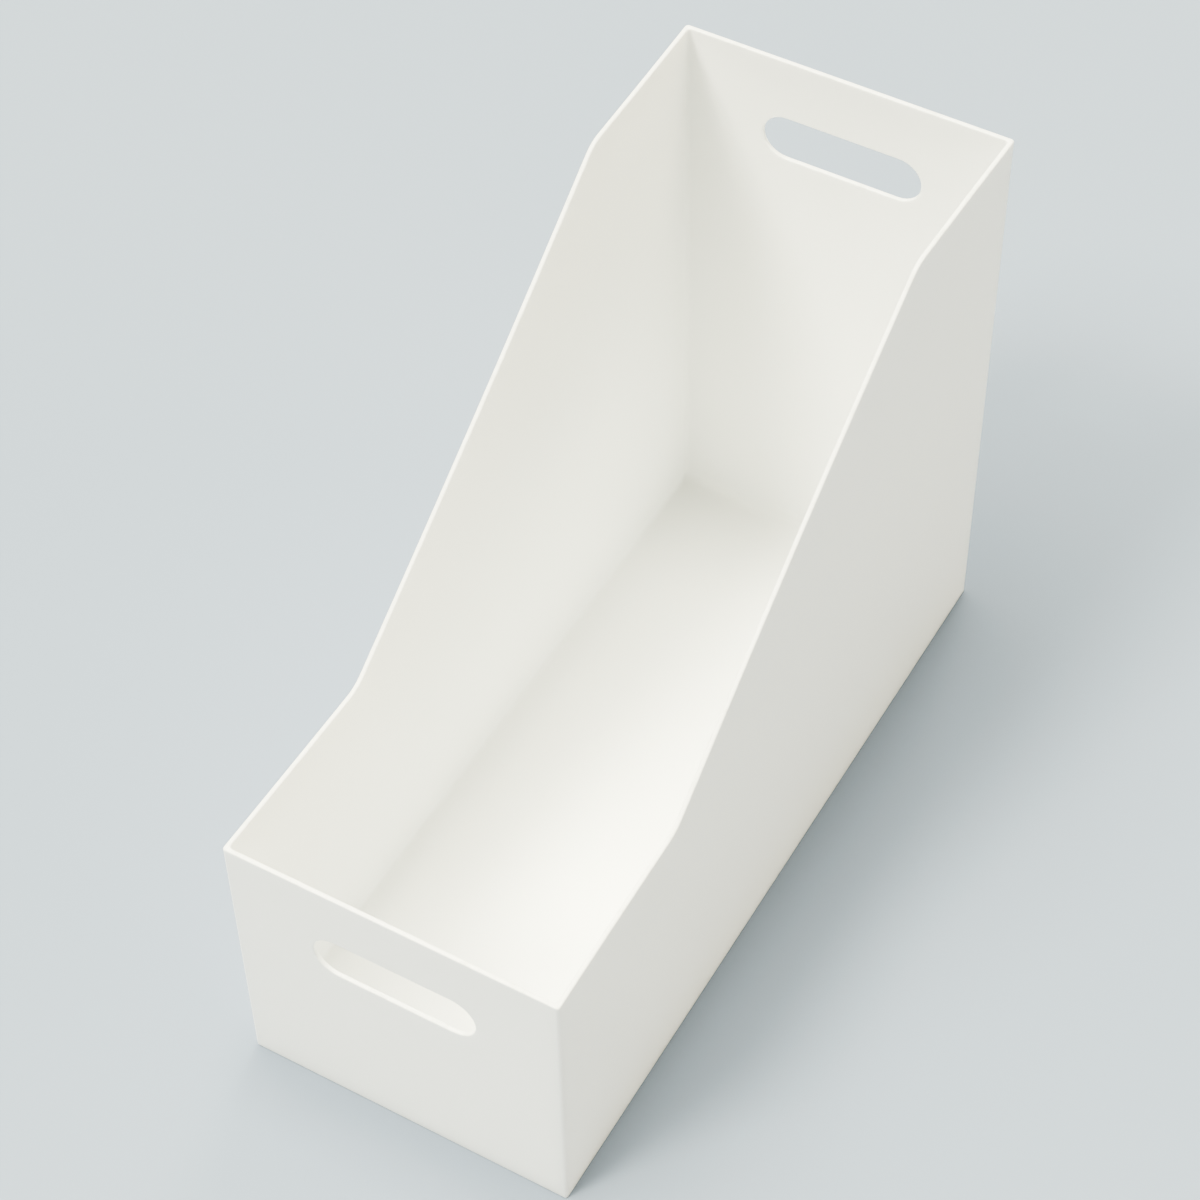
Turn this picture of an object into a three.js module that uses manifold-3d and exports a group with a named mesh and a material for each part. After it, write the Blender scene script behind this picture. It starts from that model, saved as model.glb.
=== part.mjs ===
// Magazine file holder for A4 papers, moulded in white polypropylene.
//
// The holder is a single thin-walled moulding, open at the top: a low front wall, a tall back wall,
// two side walls whose rims slope up between them, and a base. Each end wall has a hand slot.
// Each of those five walls is modelled as a solid of its own, so that the space between them is open.
//
// Millimetres, +Z up. X runs across the width and Y from the front (-Y) to the back (+Y).
// The origin is the middle of the footprint, on the surface that the holder stands on.

import * as THREE from 'three';
import { mergeVertices } from 'three/addons/utils/BufferGeometryUtils.js';
import Module from 'manifold-3d';

const wasm = await Module();
wasm.setup();

// Overall size
const WIDTH = 130;
const DEPTH = 320;
const FRONT_HEIGHT = 120;
const BACK_HEIGHT = 240;

// Moulding
const WALL = 1.8; // thickness of the four upright walls
const FLOOR = 2; // thickness of the base
const CORNER_RADIUS = 1.2; // outside radius of the four upright corners
const SIDE_BOW = 2.1; // how far a side wall is bowed inwards, half way along and at the back's height

// Side rims: level behind the front, then sloping up, then level again before the back
const LOW_RIM = 80; // length of the level stretch behind the front
const HIGH_RIM = 72; // length of the level stretch before the back
const BREAK_RADIUS = 15; // radius of the two bends between the level stretches and the slope

// Hand slots: a straight slot with round ends, the same in both end walls
const SLOT_LENGTH = 64;
const SLOT_HEIGHT = 19;
const SLOT_DROP = 35.5; // from an end wall's rim down to its slot's centre line

// Fineness of the round and bowed surfaces
const CORNER_STEPS = 4; // steps round an upright corner
const BEND_STEPS = 4; // half the steps round a bend of the rim
const SLOT_STEPS = 10; // steps round one end of a slot
const BOW_STEP = 16; // longest stretch of a side wall's rim between two columns of points
const BOW_ROWS = 6; // rows of panels up a side wall

const QUARTER_TURN = Math.PI / 2;
const SIDE_SPAN = DEPTH - 2 * WALL; // length of a side wall, between the two end walls

const POLYPROPYLENE = { color: 0xeeeeeb, roughness: 0.55, metalness: 0 };

function toSolid(geometry) {
  const bare = geometry.clone();
  bare.deleteAttribute('normal');
  bare.deleteAttribute('uv');
  const merged = mergeVertices(bare);
  const vertProperties = merged.attributes.position.array;
  const triVerts = new Uint32Array(merged.index.array);
  return new wasm.Manifold(new wasm.Mesh({ numProp: 3, vertProperties, triVerts }));
}

function toGeometry(solid) {
  const { vertProperties, triVerts } = solid.getMesh();
  const geometry = new THREE.BufferGeometry();
  geometry.setAttribute('position', new THREE.BufferAttribute(vertProperties, 3));
  geometry.setIndex(new THREE.BufferAttribute(triVerts, 1));
  geometry.computeVertexNormals();
  return geometry;
}

function namedMesh(name, geometry) {
  const mesh = new THREE.Mesh(geometry, new THREE.MeshStandardMaterial(POLYPROPYLENE));
  mesh.name = name;
  return mesh;
}

function extrudeUp(shape, height, curveSegments) {
  return new THREE.ExtrudeGeometry(shape, { depth: height, bevelEnabled: false, curveSegments });
}

// The base: a flat plate as large as the footprint, with the moulding's round corners.
function makeBase() {
  const x = WIDTH / 2 - CORNER_RADIUS;
  const y = DEPTH / 2 - CORNER_RADIUS;
  const footprint = new THREE.Shape();
  footprint.absarc(x, y, CORNER_RADIUS, 0, QUARTER_TURN);
  footprint.absarc(-x, y, CORNER_RADIUS, QUARTER_TURN, 2 * QUARTER_TURN);
  footprint.absarc(-x, -y, CORNER_RADIUS, 2 * QUARTER_TURN, 3 * QUARTER_TURN);
  footprint.absarc(x, -y, CORNER_RADIUS, 3 * QUARTER_TURN, 4 * QUARTER_TURN);
  footprint.closePath();
  return extrudeUp(footprint, FLOOR, CORNER_STEPS);
}

// The cutter for a hand slot, along Y through the front wall, centred at height z.
function slotCutter(z) {
  const straight = SLOT_LENGTH - SLOT_HEIGHT;
  const radius = SLOT_HEIGHT / 2;
  const outline = new THREE.Shape();
  outline.absarc(straight / 2, 0, radius, -QUARTER_TURN, QUARTER_TURN);
  outline.absarc(-straight / 2, 0, radius, QUARTER_TURN, 3 * QUARTER_TURN);
  outline.closePath();
  const cutter = extrudeUp(outline, 3 * WALL, SLOT_STEPS);
  cutter.rotateX(QUARTER_TURN);
  cutter.translate(0, -DEPTH / 2 + 2 * WALL, z);
  return cutter;
}

// An end wall in the front wall's place: it runs the full width, with the two outside corners round
// and a hand slot cut through it.
function makeEndWall(rimHeight) {
  const outside = -DEPTH / 2;
  const cornerX = WIDTH / 2 - CORNER_RADIUS;
  const cornerY = outside + CORNER_RADIUS;
  const plan = new THREE.Shape();
  plan.moveTo(WIDTH / 2, outside + WALL);
  plan.lineTo(-WIDTH / 2, outside + WALL);
  plan.absarc(-cornerX, cornerY, CORNER_RADIUS, 2 * QUARTER_TURN, 3 * QUARTER_TURN);
  plan.absarc(cornerX, cornerY, CORNER_RADIUS, 3 * QUARTER_TURN, 4 * QUARTER_TURN);
  plan.closePath();
  const wall = extrudeUp(plan, rimHeight - FLOOR, CORNER_STEPS);
  wall.translate(0, 0, FLOOR);
  return toGeometry(toSolid(wall).subtract(toSolid(slotCutter(rimHeight - SLOT_DROP))));
}

// The rim of a side wall from front to back. In each point, x is the distance along the holder's Y
// and y is the height.
function sideRim() {
  const slopeRun = DEPTH - LOW_RIM - HIGH_RIM;
  const slope = Math.atan2(BACK_HEIGHT - FRONT_HEIGHT, slopeRun);
  const tangent = BREAK_RADIUS * Math.tan(slope / 2);
  const lowEnd = -DEPTH / 2 + LOW_RIM - tangent;
  const lowBendZ = FRONT_HEIGHT + BREAK_RADIUS;
  const highStart = DEPTH / 2 - HIGH_RIM + tangent;
  const highBendZ = BACK_HEIGHT - BREAK_RADIUS;
  const rim = new THREE.Path();
  rim.moveTo(-SIDE_SPAN / 2, FRONT_HEIGHT);
  rim.lineTo(lowEnd, FRONT_HEIGHT);
  rim.absarc(lowEnd, lowBendZ, BREAK_RADIUS, -QUARTER_TURN, slope - QUARTER_TURN);
  rim.absarc(highStart, highBendZ, BREAK_RADIUS, slope + QUARTER_TURN, QUARTER_TURN, true);
  rim.lineTo(SIDE_SPAN / 2, BACK_HEIGHT);
  return rim.getPoints(BEND_STEPS);
}

// The same line with its long stretches divided, so that the wall under it can be bowed.
function dividedRim() {
  const corners = sideRim();
  const points = [corners[0]];
  for (let i = 1; i < corners.length; i += 1) {
    const steps = Math.ceil(corners[i].distanceTo(corners[i - 1]) / BOW_STEP);
    for (let step = 1; step <= steps; step += 1) {
      points.push(corners[i - 1].clone().lerp(corners[i], step / steps));
    }
  }
  return points;
}

// How far a side wall stands inwards of its straight base line. Its base and its two ends are held
// straight by the other walls, and its free rim is drawn in.
function inwardBow(y, z) {
  const along = y / SIDE_SPAN + 0.5;
  const lengthwise = 4 * along * (1 - along);
  const upwards = Math.sin(QUARTER_TURN * z / BACK_HEIGHT);
  return SIDE_BOW * lengthwise * upwards;
}

// A side wall, on the +X side for side = 1 and on the -X side for side = -1: a box of one unit, cut
// into panels, whose columns are stretched up to the rim and moved inwards by the bow.
function makeSideWall(side) {
  const rim = dividedRim();
  const columns = rim.length - 1;
  const geometry = new THREE.BoxGeometry(WALL, 1, 1, 1, columns, BOW_ROWS);
  const vertices = geometry.attributes.position;
  const middle = WIDTH / 2 - WALL / 2;
  for (let i = 0; i < vertices.count; i += 1) {
    const top = rim[Math.round((vertices.getY(i) + 0.5) * columns)];
    const z = THREE.MathUtils.lerp(FLOOR, top.y, vertices.getZ(i) + 0.5);
    const x = vertices.getX(i) + side * (middle - inwardBow(top.x, z));
    vertices.setXYZ(i, x, top.x, z);
  }
  geometry.computeVertexNormals();
  return geometry;
}

const backWall = makeEndWall(BACK_HEIGHT);
backWall.rotateZ(Math.PI);

const group = new THREE.Group();
group.add(namedMesh('base', makeBase()));
group.add(namedMesh('front_wall', makeEndWall(FRONT_HEIGHT)));
group.add(namedMesh('back_wall', backWall));
group.add(namedMesh('left_side_wall', makeSideWall(-1)));
group.add(namedMesh('right_side_wall', makeSideWall(1)));

export default group;
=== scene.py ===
"""Magazine file holder: the looks.

The holder is one white polypropylene moulding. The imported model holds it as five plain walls; here
they are shown as the one continuous shell that they make, with its fillets, rounded rims, bowed side
walls, hand slots and underside. Metres, +Z up, front towards -Y.
"""

import math

import bmesh
import bpy
from mathutils import Euler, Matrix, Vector


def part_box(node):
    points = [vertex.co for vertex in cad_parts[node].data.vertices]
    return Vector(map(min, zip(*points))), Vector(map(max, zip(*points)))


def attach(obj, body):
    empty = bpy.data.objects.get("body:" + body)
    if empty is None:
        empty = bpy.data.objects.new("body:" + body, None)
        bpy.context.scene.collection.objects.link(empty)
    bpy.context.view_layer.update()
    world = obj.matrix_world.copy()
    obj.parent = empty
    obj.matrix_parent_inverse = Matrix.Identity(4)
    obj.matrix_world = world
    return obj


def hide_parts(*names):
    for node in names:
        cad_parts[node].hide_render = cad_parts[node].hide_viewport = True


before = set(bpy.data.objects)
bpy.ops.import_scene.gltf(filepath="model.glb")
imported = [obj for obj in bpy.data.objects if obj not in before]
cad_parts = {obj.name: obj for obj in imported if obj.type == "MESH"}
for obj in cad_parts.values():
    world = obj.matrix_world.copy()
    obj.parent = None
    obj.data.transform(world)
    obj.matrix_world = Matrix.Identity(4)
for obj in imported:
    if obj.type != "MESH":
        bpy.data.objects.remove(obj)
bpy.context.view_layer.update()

MM = 0.001

# ---------------------------------------------------------------------------------------------
# Sizes read from the imported model
# ---------------------------------------------------------------------------------------------
base_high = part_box("base")[1]
back_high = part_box("back_wall")[1]
front_low, front_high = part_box("front_wall")

HALF_WIDTH = base_high.x
HALF_DEPTH = base_high.y
FLOOR = base_high.z                      # top of the base, on the inside
WALL = front_high.y - front_low.y        # thickness of the upright walls
FRONT_HEIGHT = front_high.z
BACK_HEIGHT = back_high.z
SIDE_SPAN = 2 * (HALF_DEPTH - WALL)      # length of the side walls between the end walls

# ---------------------------------------------------------------------------------------------
# Driving sizes of the moulding's form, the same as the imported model's
# ---------------------------------------------------------------------------------------------
LOW_RIM = 80 * MM                        # level stretch of the side rims behind the front
HIGH_RIM = 72 * MM                       # level stretch before the back
BREAK_RADIUS = 15 * MM                   # bends between the level stretches and the slope
SIDE_BOW = 2.1 * MM                      # the side walls' inward bow at the back's height
OUTER_CORNER = 1.2 * MM                  # upright outside corners
SLOT_LENGTH = 64 * MM
SLOT_HEIGHT = 19 * MM
SLOT_DROP = 35.5 * MM                    # from an end wall's rim to its slot's centre line

# Fine form, which only this file makes
INNER_CORNER_TOP = 1.5 * MM              # upright inside corners, at the rim
INNER_CORNER_FOOT = 2.5 * MM             # the same where they meet the floor
FLOOR_CORNER = 1.0 * MM                  # corner of the floor's flat part
SIDE_FILLET = 1.5 * MM                   # floor to side walls
END_FILLET = 5 * MM                      # floor to front and back walls
RIM_ROUND = 0.5 * MM                     # edges of the rims
FOOT_ROUND = 0.5 * MM                    # outside bottom edge
SLOT_ROUND = 0.5 * MM                    # edges of the hand slots
FOOT_BAND = 7 * MM                       # width of the band that the holder stands on
FOOT_RECESS = 0.5 * MM                   # how far the underside's panel is set back from it
PANEL_CORNER = 3 * MM                    # corners of that panel
GATE_RADIUS = 4 * MM                     # the dimple round the moulding gate
GATE_DEPTH = 0.3 * MM
GATE_STUB = 0.8 * MM                     # radius of the cut-off sprue inside it

# Fineness of the mesh
GUARD = 0.3 * MM                         # a loop this near a rounding keeps the flat beside it flat
CORNER_STEPS = 6
ROUND_STEPS = 4
FILLET_STEPS = 6
BEND_STEPS = 8
SIDE_STEP = 8 * MM                       # longest quad along a side wall
WALL_ROWS = 10
SLOT_STEPS = 16                          # steps round one end of a slot; even
GATE_STEPS = 32


def lerp(a, b, t):
    return a + (b - a) * t


def clamp(value, low, high):
    return max(low, min(high, value))


def steps(count):
    """0 to 1 in count equal steps, both ends included."""
    return [i / count for i in range(count + 1)]


def quarter_turn(count):
    """0 to a right angle in count equal steps, both ends included."""
    return [t * math.pi / 2 for t in steps(count)]


# ---------------------------------------------------------------------------------------------
# The shell's form
# ---------------------------------------------------------------------------------------------
SLOPE_START = -HALF_DEPTH + LOW_RIM
SLOPE_END = HALF_DEPTH - HIGH_RIM
SLOPE = math.atan2(BACK_HEIGHT - FRONT_HEIGHT, SLOPE_END - SLOPE_START)
BEND_TANGENT = BREAK_RADIUS * math.tan(SLOPE / 2)
BEND_RUN = BREAK_RADIUS * math.sin(SLOPE)    # length of a bend along Y
LOW_BEND = SLOPE_START - BEND_TANGENT        # where the lower bend starts
HIGH_BEND = SLOPE_END + BEND_TANGENT         # where the upper bend ends


def rim_height(y):
    """Height of the rim at y: level, a bend up, the slope, a bend level, level."""
    if y <= LOW_BEND:
        return FRONT_HEIGHT
    if y < LOW_BEND + BEND_RUN:
        reach = y - LOW_BEND
        return FRONT_HEIGHT + BREAK_RADIUS - math.sqrt(BREAK_RADIUS ** 2 - reach ** 2)
    if y <= HIGH_BEND - BEND_RUN:
        return FRONT_HEIGHT + (y - SLOPE_START) * math.tan(SLOPE)
    if y < HIGH_BEND:
        reach = HIGH_BEND - y
        return BACK_HEIGHT - BREAK_RADIUS + math.sqrt(BREAK_RADIUS ** 2 - reach ** 2)
    return BACK_HEIGHT


def side_stations():
    """The places along Y of the side walls' columns: close together in the bends, wider elsewhere.
    The first and last stay clear of the corners of the smallest ring, the underside's panel."""
    reach = HALF_DEPTH - FOOT_BAND - FOOT_RECESS - PANEL_CORNER - 4 * GUARD
    stretches = (
        (-reach, LOW_BEND, None),
        (LOW_BEND, LOW_BEND + BEND_RUN, BEND_STEPS),
        (LOW_BEND + BEND_RUN, HIGH_BEND - BEND_RUN, None),
        (HIGH_BEND - BEND_RUN, HIGH_BEND, BEND_STEPS),
        (HIGH_BEND, reach, None),
    )
    stations = [-reach]
    for start, end, count in stretches:
        count = count or math.ceil((end - start) / SIDE_STEP)
        stations += [lerp(start, end, t) for t in steps(count)[1:]]
    return stations


STATIONS = side_stations()


def corner_points(cx, cy, radius, turn):
    """A quarter round about (cx, cy), starting at the angle turn, with a guard point at each end.
    Each point is (x, y, endwise): endwise is 0 where the wall faces sideways and 1 endways."""
    points = []
    for t in steps(CORNER_STEPS):
        angle = turn + t * math.pi / 2
        x = cx + radius * math.cos(angle)
        y = cy + radius * math.sin(angle)
        endwise = math.sin(angle) ** 2
        if t == 0:
            points.append((x + GUARD * math.sin(angle), y - GUARD * math.cos(angle), endwise))
        points.append((x, y, endwise))
        if t == 1:
            points.append((x - GUARD * math.sin(angle), y + GUARD * math.cos(angle), endwise))
    return points


def plan_ring(inset_x, inset_y, radius):
    """A loop round the plan, anticlockwise from above, from the front wall's right end back to its
    left end. All rings have the same points in the same order, so that they can be joined."""
    x = HALF_WIDTH - inset_x
    y = HALF_DEPTH - inset_y
    ring = corner_points(x - radius, radius - y, radius, -math.pi / 2)
    ring += [(x, station, 0.0) for station in STATIONS]
    ring += corner_points(x - radius, y - radius, radius, 0)
    ring += corner_points(radius - x, y - radius, radius, math.pi / 2)
    ring += [(-x, station, 0.0) for station in reversed(STATIONS)]
    ring += corner_points(radius - x, radius - y, radius, math.pi)
    return ring


CORNER_COUNT = CORNER_STEPS + 3          # points round one corner, with its two guard points
RING_COUNT = 4 * CORNER_COUNT + 2 * len(STATIONS)
# A ring's points at the right and left ends of the front wall's and the back wall's flat
FRONT_RIGHT = 0
FRONT_LEFT = RING_COUNT - 1
BACK_RIGHT = 2 * CORNER_COUNT + len(STATIONS) - 1
BACK_LEFT = BACK_RIGHT + 1


# A ring's height is a function of y and endwise, and these make such functions.
def level(z):
    return lambda y, endwise: z


def below_rim(drop):
    return lambda y, endwise: rim_height(y) - drop


def in_fillet(rise, lift=0.0):
    """The height in the fillet round the floor: rise is 0 at its foot and 1 at its top."""
    return lambda y, endwise: FLOOR + lerp(SIDE_FILLET, END_FILLET, endwise) * rise + lift


def between(first, second, t):
    """The height t of the way from the first height to the second."""
    return lambda y, endwise: lerp(first(y, endwise), second(y, endwise), t)


def inward_bow(y, z):
    """How far a side wall stands inwards of its straight base line."""
    along = clamp(y / SIDE_SPAN + 0.5, 0, 1)
    return SIDE_BOW * 4 * along * (1 - along) * math.sin(math.pi / 2 * z / BACK_HEIGHT)


def bowed(x, y, z):
    """The point moved inwards with the side walls: fully at their outside, less towards the middle."""
    return x - inward_bow(y, z) * x / HALF_WIDTH, y, z


class ShellMesh:
    """Builds the shell in a bmesh. Its rings run from the underside's panel outwards, up the outside,
    over the rim and down the inside to the floor, and its flats close what they leave open."""

    def __init__(self):
        self.bm = bmesh.new()
        self.wear = self.bm.verts.layers.float.new("wear")
        self.rings = []

    def vertex(self, x, y, z, wear=0.0):
        vertex = self.bm.verts.new(bowed(x, y, z))
        vertex[self.wear] = wear
        return vertex

    def face(self, vertices):
        self.bm.faces.new(vertices).smooth = True

    def ring(self, inset_x, inset_y, radius, height, wear=0.0):
        """Adds a ring and returns its number. Wear is how much its edge is rubbed, from 0 to 1."""
        points = plan_ring(inset_x, inset_y, radius)
        self.rings.append([self.vertex(x, y, height(y, endwise), wear) for x, y, endwise in points])
        return len(self.rings) - 1

    def join(self, lower, upper, skip=()):
        """Joins two loops of vertices by quads, without those that start at the skipped places."""
        count = len(lower)
        for i in range(count):
            if i not in skip:
                j = (i + 1) % count
                self.face((lower[i], lower[j], upper[j], upper[i]))

    def flat(self, right, left, hole=()):
        """Fills the flat between two edges by quads from edge to edge and, where it has a hole, by the
        faces round that. Right and left are the edges' vertices from bottom to top, in pairs, as seen
        from the flat's outside, and the hole's loop runs anticlockwise from its right end."""
        up = (right[-1].co - right[0].co).normalized()
        places = [vertex.co.dot(up) for vertex in right]
        hole_places = [vertex.co.dot(up) for vertex in hole]
        beside = []
        for i, (low, high) in enumerate(zip(places, places[1:])):
            if hole and low < max(hole_places) and high > min(hole_places):
                beside.append(i)
            else:
                self.face((right[i], right[i + 1], left[i + 1], left[i]))
        if hole:
            band = slice(beside[0], beside[-1] + 2)
            self.surround(right[band], left[band], hole)

    def surround(self, right, left, hole):
        """The faces between a hole and the two edges beside it."""
        half = len(hole) // 2
        for low, high in zip(right, right[1:]):
            self.face((low, high, hole[0]))
        for low, high in zip(left, left[1:]):
            self.face((high, low, hole[half]))
        self.face([right[-1], left[-1]] + hole[half::-1])
        self.face([left[0], right[0]] + hole[:1] + hole[:half - 1:-1])

    def cover(self, ring, hole=(), from_below=False):
        """Fills a level ring by quads across it and a face at each end, as seen from above or below."""
        right_start = CORNER_COUNT - 1
        right_end = right_start + len(STATIONS) + 1
        left_start = 3 * CORNER_COUNT + len(STATIONS) - 1
        left_end = left_start + len(STATIONS) + 1
        right = ring[right_start:right_end + 1]
        left = ring[left_start:left_end + 1][::-1]
        front = ring[left_end:] + ring[:right_start + 1]
        back = ring[right_end:left_start + 1]
        if from_below:
            right, left = left, right
            front.reverse()
            back.reverse()
        self.flat(right, left, hole)
        self.face(front)
        self.face(back)

    def finish(self, name):
        mesh = bpy.data.meshes.new(name)
        self.bm.normal_update()
        self.bm.to_mesh(mesh)
        self.bm.free()
        shell = bpy.data.objects.new(name, mesh)
        bpy.context.scene.collection.objects.link(shell)
        return shell


def add_underside(shell):
    """The panel set back from the band that the holder stands on, and the band."""
    inside = FOOT_BAND + FOOT_RECESS
    for inset, z in (
        (inside + GUARD, FOOT_RECESS),
        (inside, FOOT_RECESS),
        (FOOT_BAND, 0.0),
        (FOOT_BAND - GUARD, 0.0),
    ):
        shell.ring(inset, inset, PANEL_CORNER, level(z))
    inset = FOOT_ROUND + GUARD
    shell.ring(inset, inset, GUARD, level(0.0))


def add_outside(shell):
    """The rounded bottom edge and the outside of the walls. Returns the walls' first and last rings."""
    for angle in quarter_turn(ROUND_STEPS):
        inset = FOOT_ROUND * (1 - math.sin(angle))
        z = FOOT_ROUND * (1 - math.cos(angle))
        radius = lerp(OUTER_CORNER, GUARD, inset / FOOT_ROUND)
        shell.ring(inset, inset, radius, level(z), wear=1.0)
    foot = level(FOOT_ROUND + GUARD)
    top = below_rim(RIM_ROUND + GUARD)
    rows = [shell.ring(0, 0, OUTER_CORNER, between(foot, top, t)) for t in steps(WALL_ROWS)]
    return rows[0], rows[-1]


def add_rim(shell):
    """The rim: a rounded edge, a narrow flat and a rounded edge."""
    outer = [(angle, RIM_ROUND * (1 - math.cos(angle))) for angle in quarter_turn(ROUND_STEPS)]
    inner = [(angle, WALL - inset) for angle, inset in reversed(outer)]
    for angle, inset in outer + inner:
        drop = RIM_ROUND * (1 - math.sin(angle))
        radius = lerp(OUTER_CORNER, INNER_CORNER_TOP, inset / WALL)
        shell.ring(inset, inset, radius, below_rim(drop), wear=1.0)


def add_inside(shell):
    """The inside of the walls, whose upright corners open out towards the floor. Returns the walls'
    first and last rings."""
    top = below_rim(RIM_ROUND + GUARD)
    foot = in_fillet(1, lift=GUARD)
    rows = []
    for t in steps(WALL_ROWS):
        radius = lerp(INNER_CORNER_TOP, INNER_CORNER_FOOT, t)
        rows.append(shell.ring(WALL, WALL, radius, between(top, foot, t)))
    return rows[0], rows[-1]


def add_floor(shell):
    """The fillets round the floor, and the edge of its flat part."""
    for angle in quarter_turn(FILLET_STEPS):
        across = 1 - math.cos(angle)
        rise = 1 - math.sin(angle)
        radius = lerp(INNER_CORNER_FOOT, FLOOR_CORNER, across)
        shell.ring(WALL + SIDE_FILLET * across, WALL + END_FILLET * across, radius, in_fillet(rise))
    shell.ring(WALL + SIDE_FILLET + GUARD, WALL + END_FILLET + GUARD, FLOOR_CORNER, level(FLOOR))


def slot_outline(grow):
    """A slot's outline, grown all round, as (across, up) from its centre: anticlockwise from its
    right end, with guard points where the straights meet the round ends."""
    straight = (SLOT_LENGTH - SLOT_HEIGHT) / 2
    radius = SLOT_HEIGHT / 2 + grow
    guard = straight - GUARD

    def end(side, start, stop):
        count = round(SLOT_STEPS * (stop - start))
        turns = [math.pi * lerp(start, stop, t) for t in steps(count)]
        return [(side * straight + radius * math.cos(a), radius * math.sin(a)) for a in turns]

    outline = end(1, 0, 0.5)
    outline += [(guard, radius), (-guard, radius)]
    outline += end(-1, 0.5, 1.5)
    outline += [(-guard, -radius), (guard, -radius)]
    outline += end(1, -0.5, 0)[:-1]
    return outline


def slot_rings():
    """A slot's section through the wall, as (depth from the outside, growth, wear)."""
    outer = [(0.0, SLOT_ROUND + GUARD, 0.0)]
    for angle in quarter_turn(ROUND_STEPS):
        outer.append((SLOT_ROUND * (1 - math.cos(angle)), SLOT_ROUND * (1 - math.sin(angle)), 1.0))
    return outer + [(WALL - depth, grow, wear) for depth, grow, wear in reversed(outer)]


def add_slot(shell, end, rim, outside_rows, inside_rows):
    """Cuts the hand slot through an end wall: end is -1 for the front wall and 1 for the back wall.
    The walls' rows of quads were left out there, so the flats round the slot are made here too."""
    centre = rim - SLOT_DROP
    loops = []
    for depth, grow, wear in slot_rings():
        y = end * (HALF_DEPTH - depth)
        loop = [shell.vertex(-end * across, y, centre + up, wear) for across, up in slot_outline(grow)]
        loops.append(loop)
    for outer, inner in zip(loops, loops[1:]):
        shell.join(outer, inner)
    right, left = (FRONT_RIGHT, FRONT_LEFT) if end < 0 else (BACK_LEFT, BACK_RIGHT)
    outside = shell.rings[outside_rows[0]:outside_rows[1] + 1]
    inside = shell.rings[inside_rows[1]:inside_rows[0] - 1:-1]
    shell.flat([ring[right] for ring in outside], [ring[left] for ring in outside], loops[0])
    half = len(loops[-1]) // 2
    seen_from_inside = [loops[-1][half - i] for i in range(len(loops[-1]))]
    shell.flat([ring[left] for ring in inside], [ring[right] for ring in inside], seen_from_inside)


def add_gate_mark(shell):
    """The dimple in the middle of the underside with the stub of the sprue in it, and the panel round
    it."""
    sections = (
        (GATE_RADIUS + GUARD, 0.0),
        (GATE_RADIUS, 0.0),
        (GATE_RADIUS - GATE_DEPTH, GATE_DEPTH),
        (GATE_STUB + GATE_DEPTH, GATE_DEPTH),
        (GATE_STUB, GATE_DEPTH / 4),
    )
    turns = [2 * math.pi * i / GATE_STEPS for i in range(GATE_STEPS)]
    loops = []
    for radius, depth in sections:
        z = FOOT_RECESS + depth
        loops.append([shell.vertex(-radius * math.cos(a), radius * math.sin(a), z) for a in turns])
    for outer, inner in zip(loops, loops[1:]):
        shell.join(outer, inner)
    shell.face(loops[-1])
    shell.cover(shell.rings[0], loops[0], from_below=True)


def make_shell():
    """The whole moulding, as one closed mesh."""
    shell = ShellMesh()
    add_underside(shell)
    outside_rows = add_outside(shell)
    add_rim(shell)
    inside_rows = add_inside(shell)
    add_floor(shell)
    slotted = set(range(*outside_rows)) | set(range(*inside_rows))
    for i in range(len(shell.rings) - 1):
        skip = (FRONT_LEFT, BACK_RIGHT) if i in slotted else ()
        shell.join(shell.rings[i], shell.rings[i + 1], skip)
    shell.cover(shell.rings[-1])
    add_slot(shell, -1, FRONT_HEIGHT, outside_rows, inside_rows)
    add_slot(shell, 1, BACK_HEIGHT, outside_rows, inside_rows)
    add_gate_mark(shell)
    return shell.finish("moulded_shell")


# ---------------------------------------------------------------------------------------------
# Materials
# ---------------------------------------------------------------------------------------------
def new_material(name):
    """A material with only a Principled shader, with the nodes, links and shader to build on."""
    material = bpy.data.materials.new(name)
    material.use_nodes = True
    nodes = material.node_tree.nodes
    nodes.clear()
    output = nodes.new("ShaderNodeOutputMaterial")
    shader = nodes.new("ShaderNodeBsdfPrincipled")
    material.node_tree.links.new(shader.outputs["BSDF"], output.inputs["Surface"])
    return material, nodes, material.node_tree.links, shader


def noise(nodes, links, scale, detail, roughness=0.5):
    """Noise from 0 to 1 in the object's own coordinates; scale is in cycles per metre."""
    coordinates = nodes.new("ShaderNodeTexCoord")
    texture = nodes.new("ShaderNodeTexNoise")
    texture.inputs["Scale"].default_value = scale
    texture.inputs["Detail"].default_value = detail
    texture.inputs["Roughness"].default_value = roughness
    links.new(coordinates.outputs["Object"], texture.inputs["Vector"])
    return texture.outputs["Fac"]


def map_range(nodes, links, value, low, high, to_low, to_high):
    node = nodes.new("ShaderNodeMapRange")
    node.inputs["From Min"].default_value = low
    node.inputs["From Max"].default_value = high
    node.inputs["To Min"].default_value = to_low
    node.inputs["To Max"].default_value = to_high
    links.new(value, node.inputs["Value"])
    return node.outputs["Result"]


def math_node(nodes, links, operation, a, b):
    node = nodes.new("ShaderNodeMath")
    node.operation = operation
    for socket, value in zip(node.inputs, (a, b)):
        if isinstance(value, (int, float)):
            socket.default_value = value
        else:
            links.new(value, socket)
    return node.outputs["Value"]


def mix_colour(nodes, links, factor, first, second):
    """First where the factor is 0 and second where it is 1. A Mix node's colours are its inputs 6 and 7
    and its output 2."""
    node = nodes.new("ShaderNodeMix")
    node.data_type = "RGBA"
    links.new(factor, node.inputs["Factor"])
    for socket, colour in ((node.inputs[6], first), (node.inputs[7], second)):
        if isinstance(colour, tuple):
            socket.default_value = (*colour, 1.0)
        else:
            links.new(colour, socket)
    return node.outputs[2]


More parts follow.
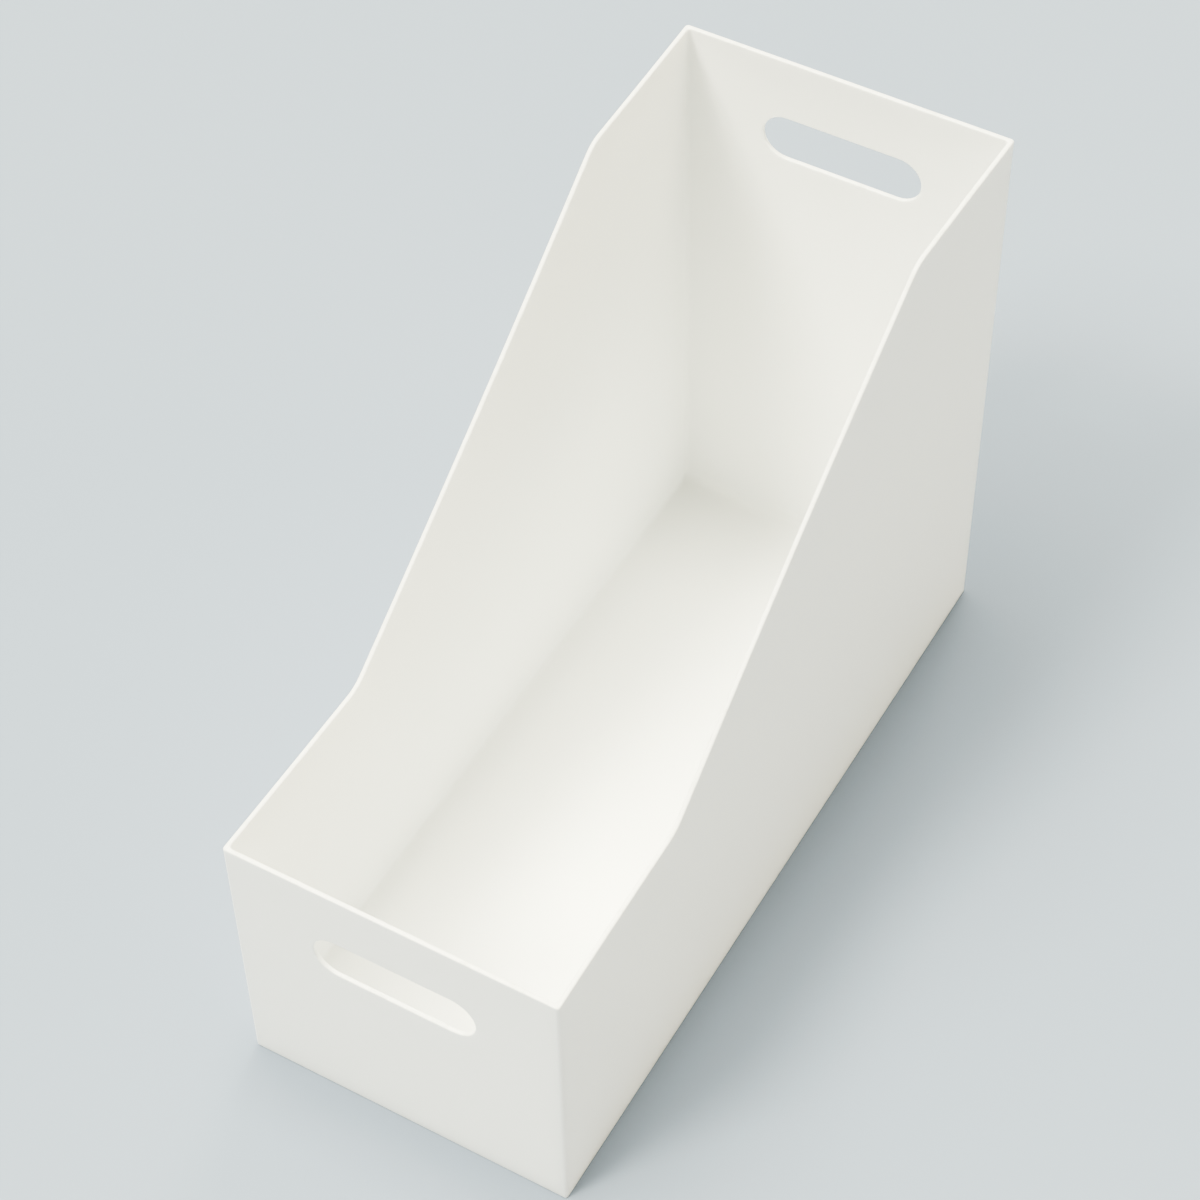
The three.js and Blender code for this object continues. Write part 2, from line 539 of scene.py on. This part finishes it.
def bump(nodes, links, height, distance, strength, normal=None):
    node = nodes.new("ShaderNodeBump")
    node.inputs["Distance"].default_value = distance
    node.inputs["Strength"].default_value = strength
    links.new(height, node.inputs["Height"])
    if normal is not None:
        links.new(normal, node.inputs["Normal"])
    return node.outputs["Normal"]


PP_WHITE = (0.96, 0.972, 0.97)
PP_CLOUD = (0.95, 0.962, 0.96)
PP_SCUFF = (0.70, 0.70, 0.67)
PP_IOR = 1.49
PP_SCATTER = 1.5 * MM                    # how far light spreads inside the plastic
LEAST_ROUGHNESS = 0.46                   # where the surface is handled least
MOST_ROUGHNESS = 0.56                    # where it is handled most
SCUFF_SHARE = 0.5                        # the most that a scuff shows on a rubbed edge
SCUFF_ROUGHNESS = 0.1                    # what a full scuff adds to the roughness
WAVE_HEIGHT = 0.1 * MM
WAVE_STRENGTH = 0.5
GRAIN_HEIGHT = 0.02 * MM
GRAIN_STRENGTH = 0.35

# Noises in the plastic, in cycles per metre
CLOUD_SCALE = 14.0
WAVE_SCALE = 22.0
HANDLING_SCALE = 35.0
SCUFF_SCALE = 160.0
GRAIN_SCALE = 2600.0

FLOOR_ROUGHNESS = 0.9
FLOOR_SPECULAR = 0.2


def polypropylene_scuffs(nodes, links):
    """How scuffed the plastic is: in patches, and only where the mesh says that an edge is rubbed."""
    rubbed = nodes.new("ShaderNodeAttribute")
    rubbed.attribute_name = "wear"
    patches = noise(nodes, links, SCUFF_SCALE, detail=4.0)
    patches = map_range(nodes, links, patches, 0.5, 0.7, 0.0, SCUFF_SHARE)
    return math_node(nodes, links, "MULTIPLY", rubbed.outputs["Fac"], patches)


def polypropylene_colour(nodes, links, scuffs):
    clouds = noise(nodes, links, CLOUD_SCALE, detail=2.0)
    clouds = map_range(nodes, links, clouds, 0.35, 0.65, 0.0, 1.0)
    plain = mix_colour(nodes, links, clouds, PP_WHITE, PP_CLOUD)
    return mix_colour(nodes, links, scuffs, plain, PP_SCUFF)


def polypropylene_roughness(nodes, links, scuffs):
    handling = noise(nodes, links, HANDLING_SCALE, detail=5.0, roughness=0.6)
    satin = map_range(nodes, links, handling, 0.3, 0.7, LEAST_ROUGHNESS, MOST_ROUGHNESS)
    scuffed = math_node(nodes, links, "MULTIPLY", scuffs, SCUFF_ROUGHNESS)
    return math_node(nodes, links, "ADD", satin, scuffed)


def polypropylene_normal(nodes, links):
    """A fine grain over long shallow waves."""
    waves = noise(nodes, links, WAVE_SCALE, detail=1.0)
    waves = bump(nodes, links, waves, WAVE_HEIGHT, WAVE_STRENGTH)
    grain = noise(nodes, links, GRAIN_SCALE, detail=2.0)
    return bump(nodes, links, grain, GRAIN_HEIGHT, GRAIN_STRENGTH, waves)


def make_polypropylene():
    """Satin white polypropylene: a fine spark-eroded grain over a surface that is flat only to a few
    hundredths of a millimetre, faintly clouded, with rubbed edges."""
    material, nodes, links, shader = new_material("moulded_polypropylene")
    scuffs = polypropylene_scuffs(nodes, links)
    links.new(polypropylene_colour(nodes, links, scuffs), shader.inputs["Base Color"])
    links.new(polypropylene_roughness(nodes, links, scuffs), shader.inputs["Roughness"])
    links.new(polypropylene_normal(nodes, links), shader.inputs["Normal"])
    shader.inputs["IOR"].default_value = PP_IOR
    shader.inputs["Subsurface Weight"].default_value = 1.0
    shader.inputs["Subsurface Radius"].default_value = (1.0, 1.0, 1.0)
    shader.inputs["Subsurface Scale"].default_value = PP_SCATTER
    return material


def make_floor_material():
    """A plain matt studio surface."""
    material, _, _, shader = new_material("studio_floor")
    shader.inputs["Base Color"].default_value = (*FLOOR_COLOUR, 1.0)
    shader.inputs["Roughness"].default_value = FLOOR_ROUGHNESS
    shader.inputs["Specular IOR Level"].default_value = FLOOR_SPECULAR
    return material


# ---------------------------------------------------------------------------------------------
# Studio
# ---------------------------------------------------------------------------------------------
# The camera looks at AIM from DISTANCE away.
AIM = Vector((-8.95, -4.25, 120)) * MM
DISTANCE = 1122.1 * MM
AZIMUTH = 30.80                          # degrees to the right of the front
ELEVATION = 49.58
ROLL = -1.29                             # negative is clockwise, seen from behind the camera
LENS = 94.92                             # mm, as is the sensor's width
SENSOR = 36
NEAREST = 0.05                           # metres, where the camera's view starts
FARTHEST = 50                            # metres, where it ends
FLOOR_SIZE = 12.0                        # metres each way

LIGHT_COLOUR = (1.0, 0.98, 0.79)         # warm, as the white plastic looks in the photograph
WARM_FILL = (1.0, 0.90, 0.65)            # warmer still, on the wall that faces away from the key
AMBIENT_STRENGTH = 0.1
FLOOR_COLOUR = (0.301, 0.350, 0.447)     # blue enough to look pale blue-grey under the warm light
BACKDROP_COLOUR = (0.68, 0.78, 0.80)     # close to how the lit floor looks


def make_floor(material):
    bpy.ops.mesh.primitive_plane_add(size=FLOOR_SIZE, location=(0, 0, 0))
    floor = bpy.context.object
    floor.name = "studio_floor_plane"
    floor.data.materials.append(material)


def make_camera():
    data = bpy.data.cameras.new("camera")
    data.lens = LENS
    data.sensor_width = SENSOR
    data.clip_start = NEAREST
    data.clip_end = FARTHEST
    camera = bpy.data.objects.new("camera", data)
    bpy.context.scene.collection.objects.link(camera)
    azimuth = math.radians(AZIMUTH)
    elevation = math.radians(ELEVATION)
    away = Vector((
        math.sin(azimuth) * math.cos(elevation),
        -math.cos(azimuth) * math.cos(elevation),
        math.sin(elevation),
    ))
    turn = Euler((math.pi / 2 - elevation, 0, azimuth)).to_matrix()
    roll = Euler((0, 0, math.radians(ROLL))).to_matrix()
    camera.matrix_world = (turn @ roll).to_4x4()
    camera.location = AIM + away * DISTANCE
    bpy.context.scene.camera = camera


def add_sun(name, azimuth, elevation, strength, softness, colour=LIGHT_COLOUR):
    """A sun whose light comes from azimuth degrees to the right of the front, elevation degrees up.
    Softness is how wide it looks in degrees, as a softbox would."""
    data = bpy.data.lights.new(name, "SUN")
    data.energy = strength
    data.angle = math.radians(softness)
    data.color = colour
    light = bpy.data.objects.new(name, data)
    light.rotation_euler = (math.radians(90 - elevation), 0, math.radians(azimuth))
    bpy.context.scene.collection.objects.link(light)


def make_lights():
    """A key from the front left that draws the long shadow, a broad one above it, a lamp overhead that
    draws the short shadow at the foot, and weak broad fills all round."""
    # azimuth, elevation, strength, softness
    add_sun("key", -28, 51, 2.1, 16)
    add_sun("high_key", -50, 67, 1.5, 36)
    add_sun("left_fill", -90, 55, 0.95, 50)
    add_sun("back_left_fill", -150, 55, 0.95, 50)
    add_sun("back_fill", -170, 50, 0.5, 16)
    add_sun("right_fill", 100, 20, 1.15, 40, WARM_FILL)
    add_sun("front_fill", 8, 30, 0.2, 40)
    add_sun("top_fill", 0, 90, 0.65, 60)
    add_sun("overhead", 180, 82, 1.0, 13)


def make_world():
    """A weak even light from all round. Past the floor's edge the camera sees a pale backdrop."""
    world = bpy.data.worlds.new("studio")
    world.use_nodes = True
    nodes = world.node_tree.nodes
    links = world.node_tree.links
    ambient = nodes["Background"]
    ambient.inputs["Color"].default_value = (*LIGHT_COLOUR, 1.0)
    ambient.inputs["Strength"].default_value = AMBIENT_STRENGTH
    backdrop = nodes.new("ShaderNodeBackground")
    backdrop.inputs["Color"].default_value = (*BACKDROP_COLOUR, 1.0)
    path = nodes.new("ShaderNodeLightPath")
    mix = nodes.new("ShaderNodeMixShader")
    links.new(path.outputs["Is Camera Ray"], mix.inputs["Fac"])
    links.new(ambient.outputs["Background"], mix.inputs[1])
    links.new(backdrop.outputs["Background"], mix.inputs[2])
    links.new(mix.outputs["Shader"], nodes["World Output"].inputs["Surface"])
    bpy.context.scene.world = world


# ---------------------------------------------------------------------------------------------
# The scene
# ---------------------------------------------------------------------------------------------
make_camera()
make_lights()
make_world()
make_floor(make_floor_material())
bpy.context.scene.view_settings.view_transform = "AgX"
bpy.context.scene.view_settings.look = "AgX - Very High Contrast"

moulding = make_shell()
moulding.data.materials.append(make_polypropylene())
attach(moulding, "root")
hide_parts("base", "front_wall", "back_wall", "left_side_wall", "right_side_wall")
